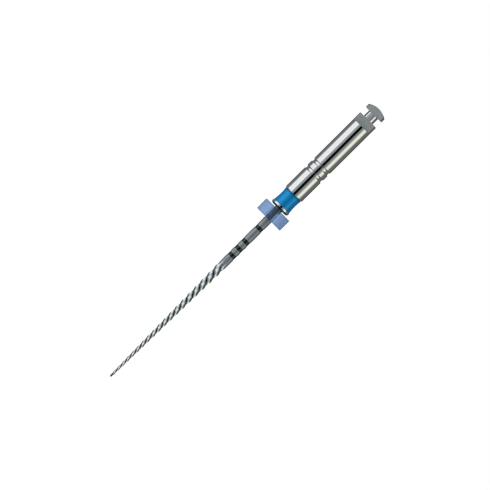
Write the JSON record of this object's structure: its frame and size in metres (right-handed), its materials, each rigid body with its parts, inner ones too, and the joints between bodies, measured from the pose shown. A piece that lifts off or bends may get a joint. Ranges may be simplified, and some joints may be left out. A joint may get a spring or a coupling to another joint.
{
  "type": "endodontic file",
  "caption": "Slender tapered rotary root canal file with right-hand flutes, black depth bands, a sliding silicone stop, a coloured ring and a round latch shank with a drive flat.",
  "frame": {"origin": "the tip of the blade, on the tool axis", "axes": "+Z runs along the tool axis from the tip to the latch head, -Y is the outward normal of the drive flat, and +X follows by the right-hand rule"},
  "size_m": [0.0034, 0.0034, 0.0399],
  "materials": {
    "blade_alloy": "ground nickel-titanium, fine grinding lines along the flutes, satin plain shank",
    "mark_black": "gloss black enamel",
    "stop_silicone": "soft translucent periwinkle-blue silicone, slightly matt",
    "collar_metal": "polished plated metal",
    "ring_blue": "bright blue, half gloss",
    "handle_metal": "polished plated metal, satin on the drive flat and the latch head"
  },
  "bodies": {
    "file": {"file_blade": "blade_alloy", "depth_mark_18_mm": "mark_black", "depth_mark_19_mm": "mark_black", "depth_mark_20_mm": "mark_black", "depth_mark_22_mm": "mark_black", "front_collar": "collar_metal", "id_ring": "ring_blue", "latch_handle": "handle_metal"},
    "stop": {"silicone_stop": "stop_silicone"}
  },
  "joints": [
    {"name": "stop_slide", "type": "slide", "parent": "file", "child": "stop", "axis": [0, 0, -1], "range_m": [-0.00011, 0.00638]}
  ]
}
